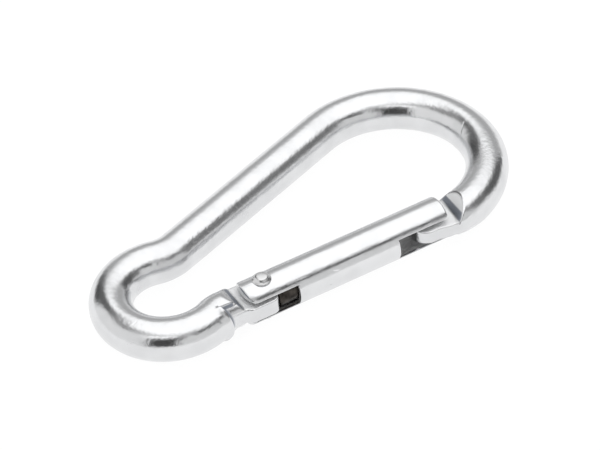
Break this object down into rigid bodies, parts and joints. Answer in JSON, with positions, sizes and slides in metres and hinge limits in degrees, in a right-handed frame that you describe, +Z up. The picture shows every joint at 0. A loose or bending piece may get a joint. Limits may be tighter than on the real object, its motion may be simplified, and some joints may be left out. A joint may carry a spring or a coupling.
{
  "type": "spring snap hook",
  "caption": "Pear-shaped round-rod snap hook with a small eye, a wide bow and a spring-closed tubular gate riveted to swing inward.",
  "frame": {"origin": "middle of the bounding box, on the plane the hook lies on (under the hinge rivet's lower head)", "axes": "+X along the closed gate from the hinge towards the nose and the wide bow, +Y from the gate into the loop, +Z up out of the plane of the bent rod"},
  "size_m": [0.119, 0.059, 0.0134],
  "materials": {
    "plated_rod": "bright zinc-plated forged rod, semi-polished with a fine grain",
    "plated_sleeve": "bright zinc-plated tube with fine drawing lines",
    "rivet_steel": "bright zinc-plated, hammered dome",
    "inner_steel": "dark oiled turned steel",
    "spring_wire": "drawn spring wire"
  },
  "bodies": {
    "hook": {"hook_body": "plated_rod"},
    "gate": {"gate_sleeve": "plated_sleeve", "hinge_rivet": "rivet_steel", "spring_stop": "inner_steel", "gate_spring": "spring_wire"},
    "plunger": {"spring_plunger": "inner_steel"}
  },
  "joints": [
    {"name": "gate_hinge", "type": "hinge", "parent": "hook", "child": "gate", "pos_m": [-0.0203, -0.02215, 0.0067], "axis": [0, 0, 1], "range_deg": [0, 32], "stiffness_Nm_per_rad": 0.6, "springref_deg": -28.65},
    {"name": "plunger_slide", "type": "slide", "parent": "gate", "child": "plunger", "axis": [1, 0, 0], "range_m": [0, 0.0017], "deforming": ["gate_spring"]}
  ],
  "couplings": [
    {"joint": "plunger_slide", "follows": "gate_hinge", "m_per_rad": 0.0029}
  ]
}
